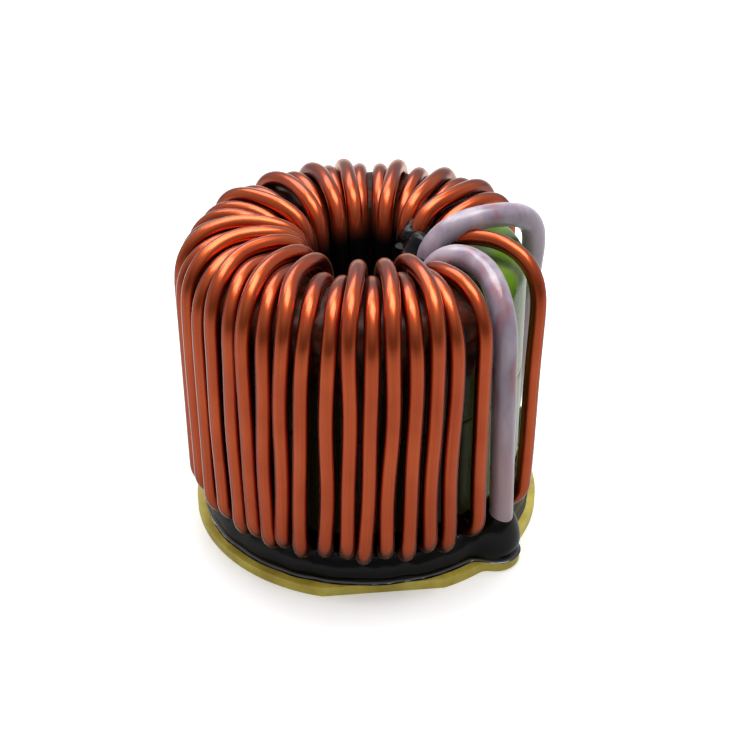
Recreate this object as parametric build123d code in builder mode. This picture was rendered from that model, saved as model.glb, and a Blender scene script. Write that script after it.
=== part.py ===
"""Differential mode inductor, standing on a round fibreglass board with its bore upright.

One thick enamelled wire is wound round two stacked ring cores. Its two ends come up out of the bore
in insulating sleeves, go over the top and down the outside to holes in the two tabs of the board.

Frame: millimetres, +Z up, the origin in the middle of the board's underside, the coil's axis on Z.
Angles run counter-clockwise from +X seen from above, and the side that faces the viewer is -90.
"""

import math
import os

from build123d import *

# Wire and winding
WIRE_DIAMETER = 2.4
WINDING_GAP = 0.1
OUTER_STANDOFF = 2.3
CREST_RISE = 0.9
OUTER_TOP_BEND = 6.2
OUTER_BOTTOM_BEND = 3.8
FIRST_LAYER_BEND = 3.9
SECOND_LAYER_BEND = 5.0

# Ring cores
CORE_OUTER_RADIUS = 23.5
CORE_BORE_RADIUS = 12.4
CORE_HEIGHT = 18.0
CORE_EDGE_RADIUS = 2.6

# Sleeves on the two leads
SLEEVE_WALL = 0.55
SLEEVE_FIT = 0.05
SLEEVE_BORE_END = 26.0
SLEEVE_FOOT_END = 1.5

# Base board
BOARD_SET_BACK = 0.9
BOARD_THICKNESS = 1.6
BOARD_FLAT_ANGLE = -84.5
BOARD_FLAT_DEPTH = 1.6
TAB_RADIUS = 4.0
TAB_REACH = 2.5
TAB_BLEND = 2.0
LEAD_HOLE_FIT = 0.15

# Black resin
RESIN_UNDER_WIRE = 1.5
RESIN_GAP = 0.1
RESIN_SET_BACK = 1.7
RESIN_BULGE = 0.7
RESIN_SKIRT_MARGIN = 0.3
MOUND_HEIGHT = 6.2
MOUND_WALL = 0.3
PLUG_HEIGHT = 5.6

# Lead routes: where each one stands on the board and where it leaves the bore, as angles
FRONT_FOOT_ANGLE = -41.5
FRONT_BORE_ANGLE = -27.5
REAR_FOOT_ANGLE = 27.5
REAR_BORE_ANGLE = -6.5
LEAD_BEND = 6.0
LEAD_UPRIGHT = 3.8
BORE_EXIT_BEND = 4.5
U_BEND_RADIUS = 1.8
U_BEND_HEIGHT = 6.0

# The turns in winding order: outer leg's angle at the top and at the bottom, bore leg's angle, and its
# layer in the bore. They are set turn by turn, as the real wire lies.
TURNS = [
    (32, 35, 22, 1),
    (41, 42, 28.2, 2),
    (49, 50, 40.3, 1),
    (58, 58, 46, 2),
    (68, 68, 60, 1),
    (77, 77, 64.4, 2),
    (84, 84, 75.4, 1),
    (92, 92, 88.4, 1),
    (98, 98, 91.5, 2),
    (104, 104, 104.6, 1),
    (111, 111, 107.9, 2),
    (119, 119, 122.1, 1),
    (128, 128, 124.3, 2),
    (138, 138, 137.7, 1),
    (147, 147, 140.8, 2),
    (156, 156, 150.4, 1),
    (165, 165, 163.1, 1),
    (175, 175, 175.8, 1),
    (184, 184, 176.5, 2),
    (193, 193, 191.8, 1),
    (201, 201, 192.9, 2),
    (210, 210, 204.4, 1),
    (218, 218, 209.3, 2),
    (226, 226, 220.9, 1),
    (232, 232, 226, 2),
    (239.5, 237.3, 236.1, 1),
    (246, 242.7, 242.4, 2),
    (252.5, 248.5, 249.1, 1),
    (260, 257, 261.8, 1),
    (266, 264, 267.5, 2),
    (272.5, 269.5, 275, 1),
    (278.5, 276, 283.9, 2),
    (285, 283, 290.6, 1),
    (291.5, 289.5, 300.3, 2),
    (297.5, 296, 303.3, 1),
    (307.5, 307, 316, 1),
    (339, 331, 368, 1),
]

# Heights and radii that follow from the sizes above
wire_radius = WIRE_DIAMETER / 2
layer_step = WIRE_DIAMETER + WINDING_GAP
core_base = BOARD_THICKNESS + RESIN_UNDER_WIRE + 2 * layer_step
core_top = core_base + 2 * CORE_HEIGHT
leg_radius = CORE_OUTER_RADIUS + OUTER_STANDOFF + wire_radius
board_radius = leg_radius + wire_radius - BOARD_SET_BACK
resin_edge = leg_radius - RESIN_SET_BACK
bore_leg = {1: CORE_BORE_RADIUS - 1.5 * WINDING_GAP - wire_radius}
bore_leg[2] = bore_leg[1] - layer_step
top_inner = {1: core_top + WINDING_GAP + wire_radius}
top_inner[2] = top_inner[1] + layer_step
top_outer = {1: top_inner[1] + CREST_RISE, 2: top_inner[1] + CREST_RISE + 0.3 * WIRE_DIAMETER}
bottom_inner = {1: core_base - WINDING_GAP - wire_radius}
bottom_inner[2] = bottom_inner[1] - layer_step
bottom_outer = {1: bottom_inner[1], 2: bottom_inner[1] - 0.35 * WIRE_DIAMETER}
inner_bend = {1: FIRST_LAYER_BEND, 2: SECOND_LAYER_BEND}
sleeve_bore = wire_radius + SLEEVE_FIT
sleeve_radius = sleeve_bore + SLEEVE_WALL
lead_crest = core_top + sleeve_radius + 2 * WINDING_GAP
u_bend_low = core_base + U_BEND_HEIGHT
resin_top = BOARD_THICKNESS + RESIN_UNDER_WIRE - RESIN_GAP


def polar(radius, angle, height=0.0):
    """Point at a radius and at an angle in degrees round the coil's axis, at a height."""
    turn = math.radians(angle)
    return (radius * math.cos(turn), radius * math.sin(turn), height)


def front_lead(low, foot):
    """Corners and bends of the front lead, from a height in the bore to a height at its foot."""
    bore = CORE_BORE_RADIUS - sleeve_radius - 1.5 * WINDING_GAP
    corners = [
        polar(bore, FRONT_BORE_ANGLE, low),
        polar(bore, FRONT_BORE_ANGLE, lead_crest + 0.4),
        polar(0.68 * leg_radius, FRONT_BORE_ANGLE - 1.5, lead_crest + 0.7),
        polar(leg_radius, FRONT_FOOT_ANGLE - 2.5, lead_crest - 0.2),
        polar(leg_radius, FRONT_FOOT_ANGLE, BOARD_THICKNESS + LEAD_UPRIGHT),
        polar(leg_radius, FRONT_FOOT_ANGLE, foot),
    ]
    return corners, [BORE_EXIT_BEND, LEAD_BEND, LEAD_BEND, LEAD_BEND]


def rear_lead(low, foot):
    """Corners and bends of the rear lead, which crosses over the last turn where it leaves the bore."""
    bore = CORE_BORE_RADIUS - sleeve_radius - 0.6 * WIRE_DIAMETER
    corners = [
        polar(bore, REAR_BORE_ANGLE, low),
        polar(bore, REAR_BORE_ANGLE, lead_crest + WIRE_DIAMETER + 1.2),
        polar(0.67 * leg_radius, REAR_FOOT_ANGLE - 20.0, lead_crest + 1.6),
        polar(leg_radius, REAR_FOOT_ANGLE - 14.0, lead_crest + 0.4),
        polar(leg_radius, REAR_FOOT_ANGLE, BOARD_THICKNESS + LEAD_UPRIGHT),
        polar(leg_radius, REAR_FOOT_ANGLE, foot),
    ]
    return corners, [BORE_EXIT_BEND, LEAD_BEND, LEAD_BEND, LEAD_BEND]


def turn_corners():
    """Corners and bends of all turns: up the outside, over the top, down the bore, back out below."""
    corners = []
    bends = []
    layer_before = 2
    for place, (outer_top, outer_bottom, bore_angle, layer) in enumerate(TURNS):
        corners.append(polar(leg_radius, outer_bottom, bottom_outer[layer_before]))
        corners.append(polar(leg_radius, outer_top, top_outer[layer]))
        corners.append(polar(bore_leg[layer], bore_angle, top_inner[layer]))
        bends += [OUTER_BOTTOM_BEND, OUTER_TOP_BEND, inner_bend[layer]]
        if place + 1 < len(TURNS):
            corners.append(polar(bore_leg[layer], bore_angle, bottom_inner[layer]))
            bends.append(inner_bend[layer])
        layer_before = layer
    return corners, bends


def wire_corners():
    """Corners and bends of the whole wire, from the rear foot through every turn to the front foot."""
    rear, rear_bends = rear_lead(bottom_inner[2], BOARD_THICKNESS)
    turns, turn_bends = turn_corners()
    front, front_bends = front_lead(u_bend_low, BOARD_THICKNESS)
    last_bore_angle = TURNS[-1][2] - 360
    u_bend = [
        polar(bore_leg[1], last_bore_angle, u_bend_low),
        polar(bore_leg[2] - 0.9 * WIRE_DIAMETER, last_bore_angle + 7.0, u_bend_low - 1),
        polar(bore_leg[2] - 0.9 * WIRE_DIAMETER, FRONT_BORE_ANGLE - 3.0, u_bend_low - 1),
    ]
    feet = [polar(leg_radius, REAR_FOOT_ANGLE), polar(leg_radius, FRONT_FOOT_ANGLE)]
    corners = feet[:1] + rear[-2::-1] + turns + u_bend + front[:-1] + feet[1:]
    bends = rear_bends[::-1] + [SECOND_LAYER_BEND] + turn_bends + 4 * [U_BEND_RADIUS] + front_bends
    return corners, bends


def rounded_line(corners, bends):
    """Line through the corners, each one rounded by its own bend."""
    with BuildLine() as line:
        FilletPolyline(*corners, radius=bends)
    return line.wire()


# Ring cores, one stacked on the other
with BuildPart() as core_lower:
    with BuildSketch(Plane.XZ) as core_section:
        with Locations((CORE_BORE_RADIUS, core_base)):
            Rectangle(CORE_OUTER_RADIUS - CORE_BORE_RADIUS, CORE_HEIGHT, align=Align.MIN)
        fillet(core_section.vertices(), CORE_EDGE_RADIUS)
    revolve(axis=Axis.Z)

with BuildPart() as core_upper:
    with Locations((0, 0, CORE_HEIGHT)):
        add(core_lower.part)

# Winding: one round wire carried along its whole route
wire_line = rounded_line(*wire_corners())
with BuildPart() as winding:
    with BuildSketch(Plane(wire_line @ 0, z_dir=wire_line % 0)):
        Circle(wire_radius)
    sweep(path=wire_line)

# Sleeves: tubes on the leads, each from the bore to the resin at its foot
sleeve_foot = BOARD_THICKNESS + SLEEVE_FOOT_END
front_line = rounded_line(*front_lead(SLEEVE_BORE_END, sleeve_foot))
rear_line = rounded_line(*rear_lead(SLEEVE_BORE_END, sleeve_foot))

with BuildPart() as sleeve_front:
    with BuildSketch(Plane(front_line @ 0, z_dir=front_line % 0)):
        Circle(sleeve_radius)
        Circle(sleeve_bore, mode=Mode.SUBTRACT)
    sweep(path=front_line)

with BuildPart() as sleeve_rear:
    with BuildSketch(Plane(rear_line @ 0, z_dir=rear_line % 0)):
        Circle(sleeve_radius)
        Circle(sleeve_bore, mode=Mode.SUBTRACT)
    sweep(path=rear_line)

# Base board: a disc with two tabs and a flat
with BuildPart() as base_board:
    with BuildSketch() as board_outline:
        Circle(board_radius)
        for foot_angle in (FRONT_FOOT_ANGLE, REAR_FOOT_ANGLE):
            with Locations(polar(board_radius + TAB_REACH - TAB_RADIUS, foot_angle)):
                Circle(TAB_RADIUS)
        fillet(board_outline.vertices(), TAB_BLEND)
        with PolarLocations(board_radius - BOARD_FLAT_DEPTH, 1, start_angle=BOARD_FLAT_ANGLE):
            Rectangle(board_radius, board_radius, align=(Align.MIN, Align.CENTER), mode=Mode.SUBTRACT)
        for foot_angle in (FRONT_FOOT_ANGLE, REAR_FOOT_ANGLE):
            with Locations(polar(leg_radius, foot_angle)):
                Circle(wire_radius + LEAD_HOLE_FIT, mode=Mode.SUBTRACT)
    extrude(amount=BOARD_THICKNESS)

# Resin bed: poured between the coil and the board, with a mound drawn up each lead
rim_height = bottom_outer[2] - wire_radius - RESIN_GAP
slope_radius = leg_radius - OUTER_BOTTOM_BEND
slope_share = (slope_radius - bore_leg[2]) / (leg_radius - bore_leg[2])
slope_height = resin_top + slope_share * (bottom_outer[2] - bottom_inner[2])
with BuildPart() as resin_bed:
    with BuildSketch(Plane.XZ):
        with BuildLine():
            Polyline(
                (resin_edge + 0.2, rim_height),
                (slope_radius, slope_height),
                (bore_leg[2], resin_top),
                (0, resin_top),
                (0, BOARD_THICKNESS),
                (resin_edge, BOARD_THICKNESS),
            )
            ThreePointArc(
                (resin_edge, BOARD_THICKNESS),
                (resin_edge + RESIN_BULGE, (BOARD_THICKNESS + rim_height) / 2),
                (resin_edge + 0.2, rim_height),
            )
        make_face()
    revolve(axis=Axis.Z)
    for foot_angle, lead_line in ((FRONT_FOOT_ANGLE, front_line), (REAR_FOOT_ANGLE, rear_line)):
        lead_at_top = lead_line.position_at(1 - (MOUND_HEIGHT - SLEEVE_FOOT_END) / lead_line.length)
        collar_radius = sleeve_radius + MOUND_WALL
        skirt_radius = TAB_RADIUS - RESIN_SKIRT_MARGIN
        skirt_centre = board_radius + TAB_REACH - TAB_RADIUS
        with BuildSketch(Plane.XY.offset(BOARD_THICKNESS)):
            with Locations(polar(skirt_centre, foot_angle)):
                Circle(skirt_radius)
        with BuildSketch(Plane.XY.offset(BOARD_THICKNESS + 0.25 * MOUND_HEIGHT)):
            with Locations(polar((skirt_centre + leg_radius) / 2, foot_angle)):
                Circle(0.55 * skirt_radius + 0.45 * collar_radius)
        with BuildSketch(Plane.XY.offset(BOARD_THICKNESS + 0.6 * MOUND_HEIGHT)):
            with Locations(polar(leg_radius, foot_angle)):
                Circle(1.08 * collar_radius)
        with BuildSketch(Plane.XY.offset(lead_at_top.Z)):
            with Locations((lead_at_top.X, lead_at_top.Y)):
                Circle(collar_radius)
        loft()
        with BuildSketch(Plane(lead_line @ 0, z_dir=lead_line % 0)):
            Circle(sleeve_radius + RESIN_GAP / 2)
        sweep(path=lead_line, mode=Mode.SUBTRACT)
        with Locations(polar(leg_radius, foot_angle, BOARD_THICKNESS)):
            Cylinder(
                wire_radius + LEAD_HOLE_FIT,
                SLEEVE_FOOT_END,
                align=(Align.CENTER, Align.CENTER, Align.MIN),
                mode=Mode.SUBTRACT,
            )

# Resin plug: fills the bottom of the bore and stands up as a lumpy mass beside the leads
plug_top = resin_top + PLUG_HEIGHT
lump_height = core_top - plug_top
plug_radius = bore_leg[2] - wire_radius - 2 * RESIN_GAP
with BuildPart() as resin_plug:
    with Locations((0, 0, resin_top)):
        Cylinder(plug_radius, PLUG_HEIGHT, align=(Align.CENTER, Align.CENTER, Align.MIN))
    for share, out, angle, thickness in (
        (-0.02, 4.2, 46, 1.9),
        (0.12, 4.1, 44, 1.5),
        (0.30, 4.9, 28, 1.7),
        (0.50, 5.6, 17, 1.4),
        (0.72, 5.8, 14, 1.75),
        (0.88, 6.0, 15, 1.45),
        (0.99, 5.9, 13, 1.1),
    ):
        with BuildSketch(Plane.XY.offset(plug_top + share * lump_height)):
            with Locations(polar(out, angle)):
                Circle(thickness)
    loft()

# Export, one file for each piece
os.makedirs("parts", exist_ok=True)
core_lower.part.label = "core_lower"
core_upper.part.label = "core_upper"
winding.part.label = "winding"
sleeve_front.part.label = "sleeve_front"
sleeve_rear.part.label = "sleeve_rear"
base_board.part.label = "base_board"
resin_bed.part.label = "resin_bed"
resin_plug.part.label = "resin_plug"
export_step(core_lower.part, "parts/core_lower.step")
export_step(core_upper.part, "parts/core_upper.step")
export_step(winding.part, "parts/winding.step")
export_step(sleeve_front.part, "parts/sleeve_front.step")
export_step(sleeve_rear.part, "parts/sleeve_rear.step")
export_step(base_board.part, "parts/base_board.step")
export_step(resin_bed.part, "parts/resin_bed.step")
export_step(resin_plug.part, "parts/resin_plug.step")
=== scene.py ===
"""Looks for the toroidal choke: enamelled wire on green ring cores, on a board, in black resin."""

import math

import bpy
import numpy as np
from mathutils import Matrix


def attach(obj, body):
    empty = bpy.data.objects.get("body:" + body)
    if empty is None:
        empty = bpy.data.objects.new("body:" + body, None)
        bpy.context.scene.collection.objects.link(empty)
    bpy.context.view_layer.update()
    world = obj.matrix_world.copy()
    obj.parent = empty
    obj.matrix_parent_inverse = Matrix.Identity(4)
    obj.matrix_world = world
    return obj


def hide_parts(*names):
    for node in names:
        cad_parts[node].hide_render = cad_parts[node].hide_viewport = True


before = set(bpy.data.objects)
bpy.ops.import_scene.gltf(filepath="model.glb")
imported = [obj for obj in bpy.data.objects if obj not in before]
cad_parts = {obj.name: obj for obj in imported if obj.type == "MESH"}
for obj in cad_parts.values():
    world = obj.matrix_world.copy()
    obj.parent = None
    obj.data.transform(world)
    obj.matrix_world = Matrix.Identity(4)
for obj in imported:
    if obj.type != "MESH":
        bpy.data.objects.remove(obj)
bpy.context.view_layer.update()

MM = 0.001

# Sizes of the object, in millimetres, as it was built
WIRE_RADIUS = 1.2
WINDING_GAP = 0.1
LAYER_STEP = 2 * WIRE_RADIUS + WINDING_GAP
OUTER_STANDOFF = 2.3
CORE_OUTER_RADIUS = 23.5
COATED_RADIUS = 24.1
CORE_BORE_RADIUS = 12.4
CORE_HEIGHT = 18.0
CORE_FOOT_EDGE = 2.6
CORE_JOINT_EDGE = 0.4
CORE_CROWN_EDGE = 2.3
BOARD_THICKNESS = 1.6
TAB_CENTRE_RADIUS = 25.8
TAB_RADIUS = 4.0
RESIN_UNDER_WIRE = 1.5
CORE_BASE = BOARD_THICKNESS + RESIN_UNDER_WIRE + 2 * LAYER_STEP
CORE_TOP = CORE_BASE + 2 * CORE_HEIGHT

# Radii and heights of a turn's corners, by the turn's layer in the bore, and the radii of its bends
LEG_RADIUS = CORE_OUTER_RADIUS + OUTER_STANDOFF + WIRE_RADIUS
BORE_LEG = {1: CORE_BORE_RADIUS - 1.5 * WINDING_GAP - WIRE_RADIUS}
BORE_LEG[2] = BORE_LEG[1] - LAYER_STEP
TOP_INNER = {1: CORE_TOP + WINDING_GAP + WIRE_RADIUS, 2: CORE_TOP + 3.5}
TOP_MIDDLE = {1: CORE_TOP + 3.0, 2: CORE_TOP + 4.1}
TOP_OUTER = {1: CORE_TOP + 2.5, 2: CORE_TOP + 2.9}
MIDDLE_RADIUS = 18.8
BOTTOM_INNER = {1: CORE_BASE - WINDING_GAP - WIRE_RADIUS}
BOTTOM_INNER[2] = BOTTOM_INNER[1] - LAYER_STEP
BOTTOM_OUTER = {1: BOTTOM_INNER[1], 2: BOTTOM_INNER[1] - 0.5}
INNER_BEND = {1: 3.9, 2: 5.0}
MIDDLE_BEND = 4.0
OUTER_TOP_BEND = 6.4
OUTER_BOTTOM_BEND = 3.8

# How far the wire is eased by hand, from which height up, and how it waves: depth, length and start
EASING_LENGTH = 11.0
EASING_START = 24.0
EASING_FULL = 30.0
LINE_STEP = 0.25
WIRE_WAVES = ((0.15, 37.0, 0.0), (0.09, 23.7, 1.0))
STILL_RADIUS = 14
WAVING_RADIUS = 20
WIRE_FACETS = 24
SLEEVE_FACETS = 32

# Every route starts upright, and its first side direction is taken across this one
ASIDE = (0.31, 0.95, 0.05)

# Sleeves and leads
SLEEVE_FIT = 0.05
SLEEVE_WALL = 0.55
SLEEVE_BORE_END = 26.0
SLEEVE_FOOT_END = 1.5
SLEEVE_BORE = WIRE_RADIUS + SLEEVE_FIT
SLEEVE_RADIUS = SLEEVE_BORE + SLEEVE_WALL
SLEEVE_ENDS = (SLEEVE_BORE_END, BOARD_THICKNESS + SLEEVE_FOOT_END)
LEAD_BEND = 6.0
LEAD_UPRIGHT = BOARD_THICKNESS + 3.8
BORE_EXIT_BEND = 4.5
CREST_BEND = 3.0
LEAD_BENDS = [BORE_EXIT_BEND, CREST_BEND, CREST_BEND, LEAD_BEND, LEAD_BEND]
FRONT_LIP_RADIUS = 15.0
REAR_LIP_RADIUS = 13.8
SHOULDER_RADIUS = 20.5
FRONT_FOOT_ANGLE = -41.5
FRONT_BORE_ANGLE = -27.5
REAR_FOOT_ANGLE = 27.5
REAR_BORE_ANGLE = -6.5
U_BEND_LOW = CORE_BASE + 6.0
U_BEND_RADIUS = 1.8

# The turns: outer leg's angle at the top and at the bottom, the crest's angle, bore leg's angle and layer
TURNS = [
    (32, 35, 27, 20, 1), (41, 42, 36, 28.2, 2), (49, 50, 45.5, 38, 1), (58, 58, 53, 45, 2),
    (68, 68, 65, 60, 1), (77, 77, 74.5, 69, 2), (84, 84, 82, 77.5, 1), (92, 92, 91.5, 92, 1),
    (98, 98, 98, 98, 2), (104, 104, 104.5, 107, 1), (111, 111, 110.5, 115, 2), (119, 119, 118.5, 124, 1),
    (128, 128, 127.5, 138, 2), (138, 138, 140, 150, 1), (147, 147, 149, 159, 2), (156, 156, 156.5, 163, 1),
    (165, 165, 164, 173, 1), (175, 175, 172.5, 181, 1), (184, 184, 177, 176, 2), (193, 193, 185, 188, 1),
    (201, 201, 191, 186, 2), (210, 210, 199, 196, 1), (218, 218, 205, 194, 2), (226, 226, 213, 208, 1),
    (232, 232, 223, 211, 2), (239.5, 237.3, 230, 221, 1), (246, 242.7, 238, 231, 2),
    (252.5, 248.5, 248, 244, 1), (260, 257, 258.5, 257, 1), (266, 264, 266, 266, 2),
    (272.5, 269.5, 274, 275, 1), (278.5, 276, 281.5, 287, 2), (285, 283, 289, 295, 1),
    (291.5, 289.5, 297, 305, 2), (297.5, 296, 302.5, 308, 1), (307.5, 307, 311.5, 320, 1),
    (339, 331, 351, 368, 1),
]

random = np.random.default_rng(7)


def polar(radius, angle, height=0.0):
    """Point at a radius and an angle in degrees round the coil's axis, at a height."""
    turn = math.radians(angle)
    return np.array([radius * math.cos(turn), radius * math.sin(turn), height])


def smooth_step(values, low, high):
    """0 below low, 1 above high, and 3 s squared - 2 s cubed between them."""
    share = np.clip((values - low) / (high - low), 0, 1)
    return share * share * (3 - 2 * share)


def ripple(points, size, waves=14):
    """Smooth noise, mostly between -1 and 1, from sine waves of about this size in random directions.

    The waves are added up and divided by the square root of their number.
    """
    total = 0
    for _ in range(waves):
        direction = random.normal(size=3)
        direction /= np.linalg.norm(direction) * size * random.uniform(0.7, 1.4)
        total = total + np.sin(2 * math.pi * (points @ direction) + random.uniform(0, 2 * math.pi))
    return total / math.sqrt(waves)


def turned(vectors, axis, angles):
    """Vectors turned about a unit axis by each angle.

    The formula is v cos a + (axis x v) sin a + axis (axis . v) (1 - cos a).
    """
    cosine = np.cos(angles)[:, None]
    sine = np.sin(angles)[:, None]
    along = axis * (axis @ vectors)
    return vectors * cosine + np.cross(axis, vectors) * sine + along * (1 - cosine)


def rounded_route(corners, bends, straight_step=2.0, arc_step=4.0):
    """Stations along a line with rounded corners, and at each one its direction and a side direction.

    Each corner is an arc of its own radius that touches both runs. The side direction is carried along
    without twist: it stays as it is on a run, and turns with the direction about the arc's axis.
    """
    corners = np.asarray(corners, float)
    places = []
    directions = []
    sides = []
    here = corners[0]
    heading = corners[1] - corners[0]
    heading /= np.linalg.norm(heading)
    side = np.cross(heading, ASIDE)
    side /= np.linalg.norm(side)
    for number in range(1, len(corners)):
        corner = corners[number]
        last = number == len(corners) - 1
        run_end = corner
        if not last:
            onward = corners[number + 1] - corner
            onward /= np.linalg.norm(onward)
            bend_angle = math.acos(np.clip(heading @ onward, -1, 1))
            reach = bends[number - 1] * math.tan(bend_angle / 2)
            run_end = corner - heading * reach
        run = np.linalg.norm(run_end - here)
        shares = np.linspace(0, 1, max(2, int(run / straight_step) + 1), endpoint=last)
        places.append(here + shares[:, None] * (run_end - here))
        directions.append(np.repeat(heading[None], len(shares), 0))
        sides.append(np.repeat(side[None], len(shares), 0))
        if last:
            break
        axis = np.cross(heading, onward)
        axis /= np.linalg.norm(axis)
        toward_centre = np.cross(axis, heading)
        steps = max(3, int(math.degrees(bend_angle) / arc_step) + 1)
        angles = np.linspace(0, bend_angle, steps, endpoint=False)
        centre = run_end + toward_centre * bends[number - 1]
        places.append(centre - turned(toward_centre, axis, angles) * bends[number - 1])
        directions.append(turned(heading, axis, angles))
        sides.append(turned(side, axis, angles))
        side = turned(side, axis, np.array([bend_angle]))[0]
        here = corner + onward * reach
        heading = onward
    return np.concatenate(places), np.concatenate(directions), np.concatenate(sides)


def lengths_along(places):
    """Length of the line from its start to each of its places."""
    return np.concatenate([[0], np.cumsum(np.linalg.norm(np.diff(places, axis=0), axis=1))])


def eased_route(corners, bends, straight_step=2.6, arc_step=9.0):
    """Rounded route whose upper bends are eased, as wire pulled over a core by hand bends.

    Above the core's middle each place is the mean of its neighbours along the line, weighed by a raised
    cosine EASING_LENGTH long. Stations are then picked by length and by how far the line turns.
    """
    places, _, sides = rounded_route(corners, bends)
    lengths = lengths_along(places)
    fine = np.arange(0, lengths[-1] + LINE_STEP / 2, LINE_STEP)
    line = np.stack([np.interp(fine, lengths, places[:, k]) for k in range(3)], -1)
    side = np.stack([np.interp(fine, lengths, sides[:, k]) for k in range(3)], -1)
    half = int(EASING_LENGTH / LINE_STEP / 2)
    window = np.hanning(2 * half + 3)[1:-1]
    padded = np.concatenate([np.repeat(line[:1], half, 0), line, np.repeat(line[-1:], half, 0)])
    mean = np.stack([np.convolve(padded[:, k], window / window.sum(), "valid") for k in range(3)], -1)
    share = smooth_step(line[:, 2], EASING_START, EASING_FULL)[:, None]
    line = line * (1 - share) + mean * share
    heading = np.gradient(line, axis=0)
    heading /= np.linalg.norm(heading, axis=1)[:, None]
    side -= heading * np.sum(side * heading, axis=1)[:, None]
    side /= np.linalg.norm(side, axis=1)[:, None]
    turning = np.degrees(np.linalg.norm(np.diff(heading, axis=0), axis=1))
    measure = fine / straight_step + np.concatenate([[0], np.cumsum(turning)]) / arc_step
    picked = np.searchsorted(measure, np.arange(0, measure[-1]))
    picked = np.unique(np.append(picked, len(fine) - 1))
    return line[picked], heading[picked], side[picked]


def grid_mesh(name, points, caps=False, lengths=None, girth=None):
    """Mesh of a grid of points in millimetres: rows along the first axis, each row closed into a ring.

    lengths and girth give each row's place and the ring's length in millimetres for a UV map to scale.
    """
    rows, columns = points.shape[:2]
    row = np.arange(rows - 1)[:, None]
    column = np.arange(columns)[None, :]
    beside = (column + 1) % columns
    quads = np.stack(
        [
            row * columns + column,
            row * columns + beside,
            (row + 1) * columns + beside,
            (row + 1) * columns + column,
        ],
        -1,
    ).reshape(-1, 4)
    faces = quads.tolist()
    if caps:
        faces.append(list(range(columns))[::-1])
        faces.append(list(range((rows - 1) * columns, rows * columns)))
    mesh = bpy.data.meshes.new(name)
    mesh.from_pydata((points.reshape(-1, 3) * MM).tolist(), [], faces)
    mesh.polygons.foreach_set("use_smooth", np.ones(len(faces), bool))
    if lengths is not None:
        near = row + 0 * column
        along = lengths[np.stack([near, near, near + 1, near + 1], -1)]
        around = np.broadcast_to(np.stack([column, column + 1, column + 1, column], -1), along.shape)
        coordinates = np.zeros((len(mesh.loops), 2))
        coordinates[: quads.size, 0] = along.reshape(-1)
        coordinates[: quads.size, 1] = around.reshape(-1) * girth / columns
        mesh.uv_layers.new(name="UVMap").data.foreach_set("uv", coordinates.ravel())
    mesh.update()
    piece = bpy.data.objects.new(name, mesh)
    bpy.context.scene.collection.objects.link(piece)
    return piece


def rings(places, directions, sides, facets):
    """Unit circle at each station, in the plane across it: side cos a + (direction x side) sin a."""
    angles = np.linspace(0, 2 * math.pi, facets, endpoint=False)
    across = np.cross(directions, sides)
    return sides[:, None] * np.cos(angles)[None, :, None] + across[:, None] * np.sin(angles)[None, :, None]


def revolved(radius, height, turn):
    """Points at radii and heights, turned round the coil's axis: (r cos a, r sin a, h)."""
    across = radius * np.cos(turn)
    return np.stack([across, radius * np.sin(turn), np.broadcast_to(height, across.shape)], -1)


def lathe(name, profile, segments=180):
    """Closed outline of radii and heights turned round the coil's axis."""
    turn = np.linspace(0, 2 * math.pi, segments + 1)
    return grid_mesh(name, revolved(profile[:, 0], profile[:, 1], turn[:, None]))


def front_lead(low, foot):
    """Corners and bends of the front lead, from a height in the bore to a height at its foot."""
    bore = CORE_BORE_RADIUS - SLEEVE_RADIUS - 1.5 * WINDING_GAP
    corners = [
        polar(bore, FRONT_BORE_ANGLE, low),
        polar(bore, FRONT_BORE_ANGLE, CORE_TOP - 0.5),
        polar(FRONT_LIP_RADIUS, FRONT_BORE_ANGLE - 0.5, CORE_TOP + 2.9),
        polar(SHOULDER_RADIUS, FRONT_BORE_ANGLE - 4.5, CORE_TOP + 2.4),
        polar(LEG_RADIUS, FRONT_FOOT_ANGLE - 2.5, CORE_TOP - 1.0),
        polar(LEG_RADIUS, FRONT_FOOT_ANGLE, LEAD_UPRIGHT),
        polar(LEG_RADIUS, FRONT_FOOT_ANGLE, foot),
    ]
    return corners, LEAD_BENDS


def rear_lead(low, foot):
    """Corners and bends of the rear lead, which crosses over the last turn where it leaves the bore."""
    bore = CORE_BORE_RADIUS - SLEEVE_RADIUS - 1.2 * WIRE_RADIUS
    corners = [
        polar(bore, REAR_BORE_ANGLE, low),
        polar(bore, REAR_BORE_ANGLE, CORE_TOP + 0.6),
        polar(REAR_LIP_RADIUS, REAR_BORE_ANGLE + 5.5, CORE_TOP + 4.3),
        polar(SHOULDER_RADIUS, REAR_FOOT_ANGLE - 21.0, CORE_TOP + 4.3),
        polar(LEG_RADIUS, REAR_FOOT_ANGLE - 14.0, CORE_TOP + 2.2),
        polar(LEG_RADIUS, REAR_FOOT_ANGLE, LEAD_UPRIGHT),
        polar(LEG_RADIUS, REAR_FOOT_ANGLE, foot),
    ]
    return corners, LEAD_BENDS


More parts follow.
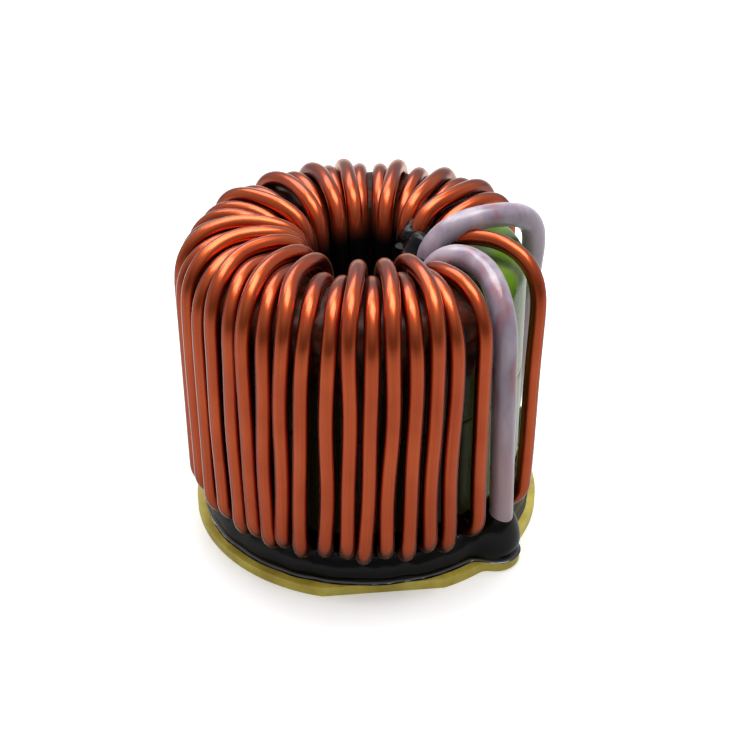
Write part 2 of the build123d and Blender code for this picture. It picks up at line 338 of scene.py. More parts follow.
def wire_corners():
    """Corners and bends of the whole wire, from the rear foot through every turn to the front foot."""
    corners = []
    bends = []
    layer_before = 2
    for place, (outer_top, outer_bottom, crest_angle, bore_angle, layer) in enumerate(TURNS):
        corners.append(polar(LEG_RADIUS, outer_bottom, BOTTOM_OUTER[layer_before]))
        corners.append(polar(LEG_RADIUS, outer_top, TOP_OUTER[layer]))
        corners.append(polar(MIDDLE_RADIUS, crest_angle, TOP_MIDDLE[layer]))
        corners.append(polar(BORE_LEG[layer], bore_angle, TOP_INNER[layer]))
        bends += [OUTER_BOTTOM_BEND, OUTER_TOP_BEND, MIDDLE_BEND, INNER_BEND[layer]]
        if place + 1 < len(TURNS):
            corners.append(polar(BORE_LEG[layer], bore_angle, BOTTOM_INNER[layer]))
            bends.append(INNER_BEND[layer])
        layer_before = layer
    rear, rear_bends = rear_lead(BOTTOM_INNER[2], BOARD_THICKNESS)
    front, front_bends = front_lead(U_BEND_LOW, BOARD_THICKNESS)
    u_bend_reach = BORE_LEG[2] - 1.8 * WIRE_RADIUS
    last_bore_angle = TURNS[-1][3] - 360
    u_bend = [
        polar(BORE_LEG[1], last_bore_angle, U_BEND_LOW),
        polar(u_bend_reach, last_bore_angle + 7, U_BEND_LOW - 1),
        polar(u_bend_reach, FRONT_BORE_ANGLE - 3, U_BEND_LOW - 1),
    ]
    feet = [polar(LEG_RADIUS, REAR_FOOT_ANGLE), polar(LEG_RADIUS, FRONT_FOOT_ANGLE)]
    corners = feet[:1] + rear[-2::-1] + corners + u_bend + front[:-1] + feet[1:]
    bends = rear_bends[::-1] + [INNER_BEND[2]] + bends + 4 * [U_BEND_RADIUS] + front_bends
    return corners, bends


def linear(colour):
    """Linear colour with full alpha from an sRGB hex value: ((c + 0.055) / 1.055) to the power 2.4."""
    channels = [int(colour[k : k + 2], 16) / 255 for k in (1, 3, 5)]
    return [c / 12.92 if c <= 0.04045 else ((c + 0.055) / 1.055) ** 2.4 for c in channels] + [1.0]


def node(tree, kind, links=None, stops=(), **settings):
    """Add a shader node with its settings. links maps an input to a value or to another node's output."""
    added = tree.nodes.new("ShaderNode" + kind)
    for name, value in settings.items():
        setattr(added, name, value)
    for name, value in (links or {}).items():
        if isinstance(value, bpy.types.NodeSocket):
            tree.links.new(value, added.inputs[name])
        else:
            added.inputs[name].default_value = value
    # A new colour ramp has two stops already
    for _ in stops[2:]:
        added.color_ramp.elements.new(0.5)
    for number, (position, colour) in enumerate(stops):
        added.color_ramp.elements[number].position = position
        added.color_ramp.elements[number].color = linear(colour)
    return added


def new_material(name):
    """Empty node material, and its node tree."""
    material = bpy.data.materials.new(name)
    material.use_nodes = True
    material.node_tree.nodes.clear()
    return material, material.node_tree


def per_mm(millimetres):
    """Noise scale, in repeats per metre, for features of this size in millimetres."""
    return 1000.0 / millimetres


# Where the painted shade on the wire in the bore, the painted shade on the core under the coil, the pink
# of the sleeves and the clear rim of the resin begin and end, in millimetres
UNSHADED_WIRE_RADIUS = 14.2
BORE_SHADE_RADIUS = 12.2
UNSHADED_WIRE_HEIGHT = 47.0
BORE_SHADE_HEIGHT = 41.0
BORE_SHADE_SWAY = 2.5
SHADED_CORE_X = 13.0
UNSHADED_CORE_X = 19.5
PLAIN_SLEEVE_HEIGHT = 34.0
PINK_SLEEVE_HEIGHT = 16.0
DULL_RESIN_HEIGHT = 1.95
CLEAR_RESIN_HEIGHT = 1.8


def enamelled_wire():
    """Copper wire with a baked red-brown enamel: metal seen through a tinted skin.

    Drawing lines run along the wire, and the enamel's thickness makes the colour wander. Toward the
    wire's edges the colour is darkened as painted shade, for the dark surroundings that they reflect,
    and a thin pale line of painted reflection lies outside. Inside the bore the legs are painted
    black and not metal, as painted shade of the deep bore.
    """
    material, tree = new_material("enamelled copper wire")
    uv = node(tree, "UVMap", uv_map="UVMap").outputs["UV"]
    where = node(tree, "TexCoord").outputs["Object"]
    # The UV map is in millimetres, and the drawing lines are about 20 mm long and 0.4 mm across
    stretched = node(tree, "Mapping", {"Vector": uv, "Scale": (0.05, 2.6, 1.0)}).outputs["Vector"]
    lines = node(tree, "TexNoise", {"Vector": stretched, "Scale": 1.0, "Detail": 4.0, "Roughness": 0.6})
    cloud = node(tree, "TexNoise", {"Vector": where, "Scale": per_mm(8.0), "Detail": 2.0})
    half = node(tree, "Math", {0: lines.outputs["Fac"], 1: cloud.outputs["Fac"]}, operation="ADD")
    mean = node(tree, "Math", {0: half.outputs[0], 1: 0.5}, operation="MULTIPLY")
    enamel = node(
        tree,
        "ValToRGB",
        {"Fac": mean.outputs[0]},
        stops=((0.30, "#A03E18"), (0.5, "#B44A20"), (0.72, "#C25A2A")),
    )
    # Painted shade: the colour darkens toward the wire's edges, standing in for the dark surroundings that
    # they reflect
    facing = node(tree, "LayerWeight", {"Blend": 0.5}).outputs["Facing"]
    painted_edge_shade = node(
        tree,
        "MapRange",
        {"Value": facing, "From Min": 0.40, "From Max": 0.60},
        interpolation_type="SMOOTHSTEP",
    )
    edge_shaded_enamel = node(
        tree,
        "Mix",
        {0: painted_edge_shade.outputs["Result"], 6: enamel.outputs["Color"], 7: linear("#7C2811")},
        data_type="RGBA",
    )
    # Painted reflection: a thin pale line at the very edge of the wire, mixed into its colour
    rim = node(
        tree,
        "MapRange",
        {"Value": facing, "From Min": 0.66, "From Max": 0.82},
        interpolation_type="SMOOTHSTEP",
    )
    skin = node(
        tree,
        "Mix",
        {0: rim.outputs["Result"], 6: edge_shaded_enamel.outputs[2], 7: linear("#E8AC90")},
        data_type="RGBA",
    )
    # Painted shade of the deep bore: inside it, below a height that wavers with the cloud noise, the wire
    # is painted black and not metal
    apart = node(tree, "SeparateXYZ", {"Vector": where})
    flat = node(tree, "CombineXYZ", {"X": apart.outputs["X"], "Y": apart.outputs["Y"]})
    reach = node(tree, "VectorMath", {0: flat.outputs["Vector"]}, operation="LENGTH")
    inside = node(
        tree,
        "MapRange",
        {
            "Value": reach.outputs["Value"],
            "From Min": UNSHADED_WIRE_RADIUS * MM,
            "From Max": BORE_SHADE_RADIUS * MM,
        },
        interpolation_type="SMOOTHSTEP",
    )
    bore_shade_line = node(
        tree,
        "MapRange",
        {"Value": cloud.outputs["Fac"], "To Min": -BORE_SHADE_SWAY * MM, "To Max": BORE_SHADE_SWAY * MM},
    )
    bore_shade_height = node(
        tree,
        "Math",
        {0: apart.outputs["Z"], 1: bore_shade_line.outputs["Result"]},
        operation="ADD",
    )
    deep = node(
        tree,
        "MapRange",
        {
            "Value": bore_shade_height.outputs[0],
            "From Min": UNSHADED_WIRE_HEIGHT * MM,
            "From Max": BORE_SHADE_HEIGHT * MM,
        },
        interpolation_type="SMOOTHSTEP",
    )
    bore_shade = node(
        tree,
        "Math",
        {0: inside.outputs["Result"], 1: deep.outputs["Result"]},
        operation="MULTIPLY",
    )
    colour = node(
        tree,
        "Mix",
        {0: bore_shade.outputs[0], 6: skin.outputs[2], 7: linear("#0C0A0B")},
        data_type="RGBA",
    )
    metal = node(tree, "MapRange", {"Value": bore_shade.outputs[0], "To Min": 1.0, "To Max": 0.0})
    rough = node(tree, "MapRange", {"Value": lines.outputs["Fac"], "To Min": 0.22, "To Max": 0.40})
    bump = node(tree, "Bump", {"Height": lines.outputs["Fac"], "Strength": 0.2, "Distance": 0.05 * MM})
    shader = node(
        tree,
        "BsdfPrincipled",
        {
            "Base Color": colour.outputs[2],
            "Metallic": metal.outputs["Result"],
            "Roughness": rough.outputs["Result"],
            "Normal": bump.outputs["Normal"],
            "Coat Weight": 0.4,
            "Coat Roughness": 0.06,
            "Coat IOR": 1.5,
        },
    )
    node(tree, "OutputMaterial", {"Surface": shader.outputs["BSDF"]})
    return material


def core_coating():
    """Fluidised epoxy coat on pressed powder: glossy green with orange peel and slow thickness changes.

    Under the coil it is painted dark brown and less glossy, a painted shade of the turns over it, and
    only the open side shows its own green.
    """
    material, tree = new_material("green epoxy core coating")
    where = node(tree, "TexCoord").outputs["Object"]
    cloud = node(tree, "TexNoise", {"Vector": where, "Scale": per_mm(11.0), "Detail": 3.0})
    peel = node(tree, "TexNoise", {"Vector": where, "Scale": per_mm(1.1), "Detail": 2.0})
    colour = node(
        tree,
        "ValToRGB",
        {"Fac": cloud.outputs["Fac"]},
        stops=((0.3, "#3A5A12"), (0.5, "#567A1C"), (0.72, "#8AA03C")),
    )
    apart = node(tree, "SeparateXYZ", {"Vector": where})
    # Painted shade: dark brown and less glossy where X is low, under the coil; its own green where X is
    # high
    open_side = node(
        tree,
        "MapRange",
        {"Value": apart.outputs["X"], "From Min": SHADED_CORE_X * MM, "From Max": UNSHADED_CORE_X * MM},
        interpolation_type="SMOOTHSTEP",
    )
    painted_shade_core = node(
        tree,
        "Mix",
        {0: open_side.outputs["Result"], 6: linear("#2A240E"), 7: colour.outputs["Color"]},
        data_type="RGBA",
    )
    gloss = node(tree, "MapRange", {"Value": open_side.outputs["Result"], "To Min": 0.08, "To Max": 0.45})
    bump = node(tree, "Bump", {"Height": peel.outputs["Fac"], "Strength": 0.35, "Distance": 0.12 * MM})
    shader = node(
        tree,
        "BsdfPrincipled",
        {
            "Base Color": painted_shade_core.outputs[2],
            "Roughness": 0.22,
            "Specular IOR Level": gloss.outputs["Result"],
            "Normal": bump.outputs["Normal"],
        },
    )
    node(tree, "OutputMaterial", {"Surface": shader.outputs["BSDF"]})
    return material


def sleeve_tubing():
    """Silicone-varnished sleeving: milky, half clear, with the copper faintly seen through its wall.

    The extruded wall is cloudy in streaks. It looks bluish where it is thin, pinkish where the wire
    touches it and toward its foot, and whiter at its edges, where the eye looks along the wall.
    """
    material, tree = new_material("milky sleeving")
    where = node(tree, "TexCoord").outputs["Object"]
    long_way = node(tree, "Mapping", {"Vector": where, "Scale": (1.0, 1.0, 0.35)}).outputs["Vector"]
    cloud = node(tree, "TexNoise", {"Vector": long_way, "Scale": per_mm(3.0), "Detail": 3.0})
    edge = node(tree, "LayerWeight", {"Blend": 0.35})
    colour = node(
        tree,
        "ValToRGB",
        {"Fac": cloud.outputs["Fac"]},
        stops=((0.34, "#B07A84"), (0.48, "#B0A2B8"), (0.66, "#D2C4D0")),
    )
    height = node(tree, "SeparateXYZ", {"Vector": where}).outputs["Z"]
    lower = node(
        tree,
        "MapRange",
        {
            "Value": height,
            "From Min": PLAIN_SLEEVE_HEIGHT * MM,
            "From Max": PINK_SLEEVE_HEIGHT * MM,
            "To Max": 0.7,
        },
    )
    blushed = node(
        tree,
        "Mix",
        {0: lower.outputs["Result"], 6: colour.outputs["Color"], 7: linear("#D4B2B6")},
        data_type="RGBA",
    )
    rim = node(
        tree,
        "MapRange",
        {"Value": edge.outputs["Facing"], "From Min": 0.35, "From Max": 0.85},
        interpolation_type="SMOOTHSTEP",
    )
    milky = node(
        tree,
        "Mix",
        {0: rim.outputs["Result"], 6: blushed.outputs[2], 7: linear("#E4DEE8")},
        data_type="RGBA",
    )
    bump = node(tree, "Bump", {"Height": cloud.outputs["Fac"], "Strength": 0.3, "Distance": 0.15 * MM})
    shader = node(
        tree,
        "BsdfPrincipled",
        {
            "Base Color": milky.outputs[2],
            "Roughness": 0.28,
            "Transmission Weight": 0.4,
            "IOR": 1.4,
            "Normal": bump.outputs["Normal"],
            "Coat Weight": 0.6,
            "Coat Roughness": 0.1,
        },
    )
    node(tree, "OutputMaterial", {"Surface": shader.outputs["BSDF"]})
    return material


def varnish():
    """Impregnating varnish that ran between the turns and set: brown where thin, and almost black with a
    weak gloss elsewhere, as painted shade between the turns.
    """
    material, tree = new_material("impregnating varnish")
    where = node(tree, "TexCoord").outputs["Object"]
    flow = node(tree, "TexNoise", {"Vector": where, "Scale": per_mm(2.0), "Detail": 2.0})
    colour = node(
        tree,
        "ValToRGB",
        {"Fac": flow.outputs["Fac"]},
        stops=((0.4, "#1E0A05"), (0.7, "#4A1B0B")),
    )
    bump = node(tree, "Bump", {"Height": flow.outputs["Fac"], "Strength": 0.35, "Distance": 0.3 * MM})
    shader = node(
        tree,
        "BsdfPrincipled",
        {
            "Base Color": colour.outputs["Color"],
            "Roughness": 0.3,
            "Specular IOR Level": 0.07,
            "Normal": bump.outputs["Normal"],
        },
    )
    node(tree, "OutputMaterial", {"Surface": shader.outputs["BSDF"]})
    return material


def potting_resin(name, grain, depth):
    """Black potting resin: poured and set, so it is glossy, with ripples of a size and depth in mm.

    Slow shallow ripples give the poured bed long soft glints, and small deep ones give the daubed lumps
    in the bore many short ones. The thin rim at the bed's foot is the clearest, and shines as a line.
    """
    material, tree = new_material(name)
    where = node(tree, "TexCoord").outputs["Object"]
    flow = node(tree, "TexNoise", {"Vector": where, "Scale": per_mm(grain), "Detail": 3.0})
    rough = node(tree, "MapRange", {"Value": flow.outputs["Fac"], "To Min": 0.06, "To Max": 0.2})
    height = node(tree, "SeparateXYZ", {"Vector": where}).outputs["Z"]
    clear = node(
        tree,
        "MapRange",
        {
            "Value": height,
            "From Min": DULL_RESIN_HEIGHT * MM,
            "From Max": CLEAR_RESIN_HEIGHT * MM,
            "To Min": 0.2,
            "To Max": 1.0,
        },
    )
    bump = node(tree, "Bump", {"Height": flow.outputs["Fac"], "Strength": 0.5, "Distance": depth * MM})
    shader = node(
        tree,
        "BsdfPrincipled",
        {
            "Base Color": linear("#0A0A0B"),
            "Roughness": rough.outputs["Result"],
            "Specular IOR Level": clear.outputs["Result"],
            "Normal": bump.outputs["Normal"],
        },
    )
    node(tree, "OutputMaterial", {"Surface": shader.outputs["BSDF"]})
    return material


def board_laminate():
    """Bare glass-fibre laminate: olive-yellow epoxy, cloudy where the glass lies deeper."""
    material, tree = new_material("glass-fibre laminate")
    where = node(tree, "TexCoord").outputs["Object"]
    cloud = node(tree, "TexNoise", {"Vector": where, "Scale": per_mm(5.0), "Detail": 5.0})
    colour = node(
        tree,
        "ValToRGB",
        {"Fac": cloud.outputs["Fac"]},
        stops=((0.32, "#BCA63C"), (0.5, "#D6C350"), (0.68, "#E8D86C")),
    )
    shader = node(
        tree,
        "BsdfPrincipled",
        {
            "Base Color": colour.outputs["Color"],
            "Roughness": 0.45,
            "Coat Weight": 0.15,
            "Coat Roughness": 0.25,
        },
    )
    node(tree, "OutputMaterial", {"Surface": shader.outputs["BSDF"]})
    return material


def dress(piece, material, slot, *replaced):
    """Give a new piece its material and its body, and hide the CAD nodes that it stands for. The slot is
    not used.
    """
    piece.data.materials.append(material)
    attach(piece, "root")
    if replaced:
        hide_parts(*replaced)


def winding():
    """The whole wire: a round tube along its route, which a hand winding leaves very slightly wavy.

    Outside the bore each place is moved round the axis by sine waves along the wire's length.
    """
    places, directions, sides = eased_route(*wire_corners())
    lengths = lengths_along(places)
    round_axis = np.stack([-places[:, 1], places[:, 0], 0 * places[:, 2]], -1)
    round_axis /= np.linalg.norm(round_axis, axis=1)[:, None]
    wave = sum(depth * np.sin(2 * math.pi * lengths / span + start) for depth, span, start in WIRE_WAVES)
    free = smooth_step(np.linalg.norm(places[:, :2], axis=1), STILL_RADIUS, WAVING_RADIUS)
    places = places + round_axis * (wave * free)[:, None]
    points = places[:, None] + WIRE_RADIUS * rings(places, directions, sides, WIRE_FACETS)
    return grid_mesh("wound_wire", points, caps=True, lengths=lengths, girth=2 * math.pi * WIRE_RADIUS)


def sleeve(name, lead):
    """Tube with a wall: outside from end to end, over the cut end, and back along the inside."""
    places, directions, sides = eased_route(*lead(*SLEEVE_ENDS), straight_step=1.5, arc_step=6)
    order = np.concatenate([np.arange(len(places)), np.arange(len(places))[::-1]])
    radii = np.repeat([SLEEVE_RADIUS, SLEEVE_BORE], len(places))
    circles = rings(places, directions, sides, SLEEVE_FACETS)[order]
    points = places[order][:, None] + circles * radii[:, None, None]
    return grid_mesh(name, np.concatenate([points, points[:1]]))


def ring_core(name, base, low_edge, high_edge):
    """Lathe of a rounded rectangle: four quarter circles joined by straight sides."""
    quarter = np.linspace(0, 90, 9)
    low = base + low_edge
    high = base + CORE_HEIGHT - high_edge
    corners = []
    for radius, height, edge, start in (
        (COATED_RADIUS - low_edge, low, low_edge, 270),
        (COATED_RADIUS - high_edge, high, high_edge, 0),
        (CORE_BORE_RADIUS + high_edge, high, high_edge, 90),
        (CORE_BORE_RADIUS + low_edge, low, low_edge, 180),
    ):
        turn = np.radians(quarter + start)
        corners.append(np.stack([radius + edge * np.cos(turn), height + edge * np.sin(turn)], -1))
    return lathe(name, np.concatenate(corners))


def smooth_line(points, steps):
    """Smooth line through points, as a cubic for each span.

    The slope at each point is half the chord between its two neighbours.
    """
    points = np.asarray(points, float)
    padded = np.concatenate([points[:1], points, points[-1:]])
    share = np.linspace(0, 1, steps, endpoint=False)[:, None]
    spans = []
    for before, start, end, after in zip(padded, padded[1:], padded[2:], padded[3:]):
        leave = (end - before) / 2
        arrive = (after - start) / 2
        spans.append(
            start
            + share * leave
            + share**2 * (3 * (end - start) - 2 * leave - arrive)
            + share**3 * (2 * (start - end) + leave + arrive)
        )
    return np.concatenate(spans + [points[-1:]])


# Varnish between the turns: its profile as radius and height, from the core's side over the crest into
# the bore, the point inside the core that it shrinks toward, and the angles that it spans, in degrees.
# The fade at each end of that span is in radians.
VARNISH_PROFILE = [
    (23.6, 30), (23.9, 33), (24.5, 36.5), (25.6, 39.5), (26.3, 42.0), (25.8, 44.3), (23.8, 45.7),
    (20.5, 46.1), (17, 46.0), (14.2, 45.5), (12.2, 44.3), (11.1, 41.5), (11.1, 36), (12.6, 30), (18, 29),
]
VARNISH_HEART = (18.2, 36.0)
VARNISH_SPAN = (30, 316)
VARNISH_STATIONS = 430
VARNISH_FADE = 0.12
VARNISH_END_SHARE = 0.6
VARNISH_RIPPLE = 4.5
VARNISH_RIPPLE_DEPTH = 0.16


def coil_varnish():
    """Varnish between the turns: a profile turned round the axis from the first turn to the last one.

    Near the ends of its span it shrinks toward a point inside the core, and ripples press it in and out.
    """
    heart = np.array(VARNISH_HEART)
    arms = smooth_line(VARNISH_PROFILE, steps=5) - heart
    turn = np.radians(np.linspace(*VARNISH_SPAN, VARNISH_STATIONS))
    begun = smooth_step(turn, turn[0], turn[0] + VARNISH_FADE)
    ended = smooth_step(turn, turn[-1] - VARNISH_FADE, turn[-1])
    share = VARNISH_END_SHARE + (1 - VARNISH_END_SHARE) * np.minimum(begun, 1 - ended)
    shape = heart + arms[None] * share[:, None, None]
    points = revolved(shape[..., 0], shape[..., 1], turn[:, None])
    swell = VARNISH_RIPPLE_DEPTH * ripple(points, VARNISH_RIPPLE)
    outward = revolved(arms[:, 0], arms[:, 1], turn[:, None])
    outward /= np.linalg.norm(outward, axis=-1)[..., None]
    return grid_mesh("coil_varnish", points + outward * swell[..., None], caps=True)


# Poured resin: its profile from the axis to its foot on the board, as radius and height, and the sizes of
# its mounds round the leads, its ripples, and its climb at each wire
RESIN_PROFILE = [
    (0.2, 5.2), (8, 5.2), (16, 5.4), (21, 5.8), (23.4, 6.0), (24.6, 5.7), (25.3, 5.0), (25.75, 4.1),
    (25.9, 3.2), (25.8, 2.6), (25.6, 2.1), (25.6, 1.85), (25.85, 1.68), (26.15, 1.6),
]
RESIN_STATIONS = 1080
RESIN_LEVEL = 5.4
RESIN_FOOT_RADIUS = 25.6
TAB_MARGIN = 0.05
TAB_BLEND_STATIONS = 15
MOUND_RISE = 2.7
MOUND_TOP_RADIUS = 1.7
MOUND_SPREAD = 2.0
MOUND_POWER = 1.4
BELLY_RADII = (20.5, 25.4)
RIPPLED_RADIUS = 26
SLOW_RIPPLE = 17
SLOW_RIPPLE_DEPTH = 0.16
BRISK_RIPPLE = 5
BRISK_RIPPLE_DEPTH = 0.06
WIRE_CLIMB = 0.55
WIRE_CLIMB_REACH = 1.5
WIRE_CLIMB_START = (21, 23.5)
WIRE_CLIMB_END = (24.6, 26)
WIRE_RIPPLE = 3.1
WIRE_RIPPLE_DEPTH = 0.12


def angles_from(turn, bearing):
    """Angle from a bearing in degrees to each angle in radians, never more than half a turn."""
    return np.angle(np.exp(1j * (turn - math.radians(bearing))))


def reach_over_tabs(turn):
    """How far the tabs reach beyond the resin's foot at each angle round the axis.

    A ray at angle a from a tab's middle leaves the tab's circle at d cos a + the root of (r squared -
    the square of d sin a), where d is the distance of the circle's centre and r is its radius. A raised
    cosine along the stations then rounds off where the tabs begin.
    """
    reach = 0 * turn
    for foot_angle in (FRONT_FOOT_ANGLE, REAR_FOOT_ANGLE):
        off = angles_from(turn, foot_angle)
        inside = np.clip((TAB_RADIUS - TAB_MARGIN) ** 2 - (TAB_CENTRE_RADIUS * np.sin(off)) ** 2, 0, None)
        tab_edge = TAB_CENTRE_RADIUS * np.cos(off) + np.sqrt(inside)
        beyond = np.where((inside > 0) & (np.cos(off) > 0), tab_edge - RESIN_FOOT_RADIUS, 0)
        reach = np.maximum(reach, np.clip(beyond, 0, None))
    window = np.hanning(2 * TAB_BLEND_STATIONS + 1)
    padded = np.concatenate([reach[-TAB_BLEND_STATIONS:], reach, reach[:TAB_BLEND_STATIONS]])
    return np.convolve(padded, window / window.sum(), "valid")


def mounds(place):
    """Rise of the resin at points of the plan, by the distance from the nearer lead.

    It falls as e to the power of minus x to the MOUND_POWER, where x is the distance past the mound's
    top as a share of the mound's spread.
    """
    rise = 0 * place[..., 0]
    for foot_angle in (FRONT_FOOT_ANGLE, REAR_FOOT_ANGLE):
        away = np.linalg.norm(place - polar(LEG_RADIUS, foot_angle)[:2], axis=-1)
        spread = np.clip(away - MOUND_TOP_RADIUS, 0, None) / MOUND_SPREAD
        rise = np.maximum(rise, MOUND_RISE * np.exp(-(spread**MOUND_POWER)))
    return rise


def poured_resin():
    """Resin round the coil's foot: the profile turned round the axis, drawn out over each tab.

    The height above the board is scaled up by a mound that falls off with the distance from each lead,
    and it climbs a little at each wire. Slow and brisk ripples move the belly in and out.
    """
    profile = smooth_line(RESIN_PROFILE, steps=6)
    turn = np.linspace(0, 2 * math.pi, RESIN_STATIONS, endpoint=False)
    circle = RIPPLED_RADIUS * revolved(1, 0, turn)
    radius = profile[:, :1] + 0 * turn
    edge_share = smooth_step(radius, *BELLY_RADII)
    slow = SLOW_RIPPLE_DEPTH * ripple(circle, SLOW_RIPPLE)
    brisk = BRISK_RIPPLE_DEPTH * ripple(circle, BRISK_RIPPLE)
    radius += edge_share * (slow + brisk)
    radius += edge_share * reach_over_tabs(turn)
    level = profile[:, 1:] + 0 * turn - BOARD_THICKNESS
    rise = mounds(revolved(radius, level, turn)[..., :2])
    height = BOARD_THICKNESS + level * (1 + rise / (RESIN_LEVEL - BOARD_THICKNESS))
    climb = 0 * turn
    for _, outer_bottom, *_ in TURNS:
        away = angles_from(turn, outer_bottom) * RIPPLED_RADIUS / WIRE_CLIMB_REACH
        climb = climb + np.exp(-(away**2))
    near_wires = smooth_step(radius, *WIRE_CLIMB_START) * (1 - smooth_step(radius, *WIRE_CLIMB_END))
    height += near_wires * (WIRE_CLIMB * climb + WIRE_RIPPLE_DEPTH * ripple(circle, WIRE_RIPPLE))
    return grid_mesh("poured_resin", revolved(radius, height, turn)[::-1], caps=True)


# Lumps of resin in the bore beside the leads: radius, angle, height, and reach along X, Y and Z
BORE_LUMPS = [
    (9.3, 33, 41.5, (3.4, 3.4, 5.0)),
    (8.4, 8, 40.0, (3.2, 4.0, 5.6)),
    (8.8, -14, 38.5, (2.8, 3.0, 5.4)),
]
LUMP_ROWS = 72
LUMP_FACETS = 120
LUMP_RIPPLE = 5.5
LUMP_RIPPLE_DEPTH = 0.12
POLE_GAP = 0.02


def lump(name, centre, reach):
    """Lump of resin: an ellipsoid whose surface is pushed in and out by ripples."""
    up = np.linspace(-math.pi / 2 + POLE_GAP, math.pi / 2 - POLE_GAP, LUMP_ROWS)
    turn = np.linspace(0, 2 * math.pi, LUMP_FACETS, endpoint=False)
    solid = revolved(np.cos(up)[:, None], np.sin(up)[:, None], turn) * np.asarray(reach)
    swell = 1 + LUMP_RIPPLE_DEPTH * ripple(solid, LUMP_RIPPLE)
    return grid_mesh(name, np.asarray(centre) + solid * swell[..., None], caps=True)


# Pieces
dress(winding(), enamelled_wire(), "enamelled_wire", "winding")
tubing = sleeve_tubing()
dress(sleeve("front_sleeve", front_lead), tubing, "sleeve", "sleeve_front")
dress(sleeve("rear_sleeve", rear_lead), tubing, "sleeve", "sleeve_rear")
coating = core_coating()
lower_ring = ring_core("lower_ring", CORE_BASE, CORE_FOOT_EDGE, CORE_JOINT_EDGE)
upper_ring = ring_core("upper_ring", CORE_BASE + CORE_HEIGHT, CORE_JOINT_EDGE, CORE_CROWN_EDGE)
dress(lower_ring, coating, "core_coating", "core_lower")
dress(upper_ring, coating, "core_coating", "core_upper")
resin = potting_resin("black potting resin", 3.0, 0.12)
daubed = potting_resin("daubed black resin", 1.8, 0.8)
dress(poured_resin(), resin, "black_resin", "resin_bed")
for number, (radius, angle, height, reach) in enumerate(BORE_LUMPS, 1):
    dress(lump("bore_resin_%d" % number, polar(radius, angle, height), reach), daubed, "black_resin")
# Varnish between the turns, kept near black as painted shade in the gaps under the crests
dress(coil_varnish(), varnish(), "black_resin")
for name, material in (("base_board", board_laminate()), ("resin_plug", resin)):
    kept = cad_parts[name]
    kept.data.materials.clear()
    kept.data.materials.append(material)

# White table that holds the object's shadow, and is a little brighter to the camera itself
WHITE = (1, 1, 1, 1)
FLOOR_GLOW = 0.22
FLOOR_REACH = 3
floor_material, floor_tree = new_material("white table")
floor_eye = node(floor_tree, "LightPath").outputs["Is Camera Ray"]
floor_tone = node(
    floor_tree, "Mix", {0: floor_eye, 6: linear("#CACACA"), 7: linear("#FAFAFA")}, data_type="RGBA"
)
floor_lift = node(floor_tree, "Math", {0: floor_eye, 1: FLOOR_GLOW}, operation="MULTIPLY")
floor_shader = node(
    floor_tree,
    "BsdfPrincipled",
    {
        "Base Color": floor_tone.outputs[2],
        "Roughness": 0.8,
        "Emission Color": WHITE,
        "Emission Strength": floor_lift.outputs[0],
    },
)
node(floor_tree, "OutputMaterial", {"Surface": floor_shader.outputs["BSDF"]})
floor_corners = [(x * FLOOR_REACH, y * FLOOR_REACH, 0) for x, y in ((-1, -1), (1, -1), (1, 1), (-1, 1))]
floor_mesh = bpy.data.meshes.new("table")
floor_mesh.from_pydata(floor_corners, [], [(0, 1, 2, 3)])
floor_mesh.materials.append(floor_material)
floor = bpy.data.objects.new("table", floor_mesh)
bpy.context.scene.collection.objects.link(floor)


def set_square(right, upward, back, place):
    """Matrix of an object at a place in millimetres, whose X, Y and Z axes point in three directions."""
    return Matrix([[right[k], upward[k], back[k], place[k] * MM] for k in range(3)] + [[0, 0, 0, 1]])


def aimed(place, target):
    """Matrix of an object at a place in millimetres whose -Z axis points at a target."""
    back = np.asarray(place, float) - np.asarray(target, float)
    back /= np.linalg.norm(back)
    right = np.cross([0.0, 0.0, 1.0], back)
    right /= np.linalg.norm(right)
    return set_square(right, np.cross(back, right), back, place)


def softbox(name, place, target, size, power):
    """Rectangular lamp at a place in millimetres, aimed at a target, of a size in millimetres."""
    lamp = bpy.data.lights.new(name, "AREA")
    lamp.shape = "RECTANGLE"
    lamp.size = size[0] * MM
    lamp.size_y = size[1] * MM
    lamp.energy = power
    holder = bpy.data.objects.new(name, lamp)
    holder.matrix_world = aimed(place, target)
    bpy.context.scene.collection.objects.link(holder)


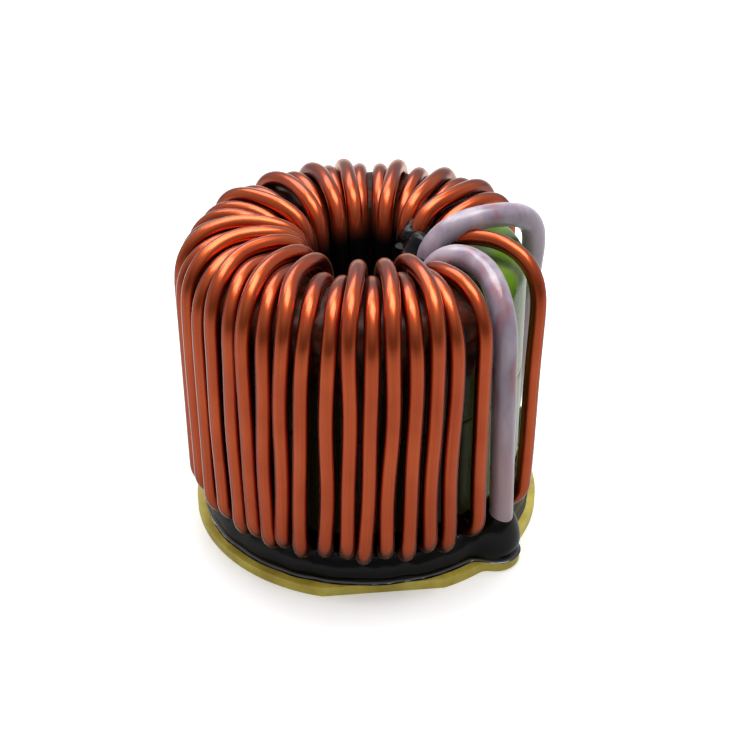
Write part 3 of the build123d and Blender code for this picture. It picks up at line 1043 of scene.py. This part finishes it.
softbox("top box", (20, 40, 420), (0, 0, 40), (330, 240), 1.6)
softbox("back box", (-120, 300, 380), (0, 0, 40), (360, 200), 0.8)

# White studio that is darker on the camera's side, and plain white to the camera itself
world = bpy.data.worlds.new("studio")
world.use_nodes = True
sky = world.node_tree
sky.nodes.clear()
direction = node(sky, "SeparateXYZ", {"Vector": node(sky, "TexCoord").outputs["Generated"]})
ahead = node(sky, "MapRange", {"Value": direction.outputs["Y"], "From Min": -0.75, "From Max": 0.05})
above = node(sky, "MapRange", {"Value": direction.outputs["Z"], "From Min": 0.3, "From Max": 0.8})
light = node(sky, "Math", {0: ahead.outputs["Result"], 1: above.outputs["Result"]}, operation="MAXIMUM")
strength = node(sky, "MapRange", {"Value": light.outputs[0], "To Min": 0.2, "To Max": 0.65})
around = node(sky, "Background", {"Color": WHITE, "Strength": strength.outputs["Result"]})
backdrop = node(sky, "Background", {"Color": WHITE, "Strength": 1.0})
seen = node(sky, "LightPath").outputs["Is Camera Ray"]
both = node(sky, "MixShader", {0: seen, 1: around.outputs[0], 2: backdrop.outputs[0]})
node(sky, "OutputWorld", {"Surface": both.outputs[0]})
bpy.context.scene.world = world

# Camera at the photograph's angle
CAMERA_PLACE = (0.0, -194.3, 144.9)
CAMERA_PITCH = math.radians(31.93)
CAMERA_ROLL = math.radians(-0.556)
camera_data = bpy.data.cameras.new("camera")
camera_data.sensor_width = 36.0
camera_data.lens = 73.0
camera_data.clip_start = 0.005
camera = bpy.data.objects.new("camera", camera_data)
forward = np.array([0.0, math.cos(CAMERA_PITCH), -math.sin(CAMERA_PITCH)])
level = np.array([1.0, 0.0, 0.0])
upright = np.cross(level, forward)
camera_right = level * math.cos(CAMERA_ROLL) + upright * math.sin(CAMERA_ROLL)
camera_up = -level * math.sin(CAMERA_ROLL) + upright * math.cos(CAMERA_ROLL)
camera.matrix_world = set_square(camera_right, camera_up, -forward, CAMERA_PLACE)
bpy.context.scene.collection.objects.link(camera)
bpy.context.scene.camera = camera
bpy.context.scene.view_settings.view_transform = "Standard"
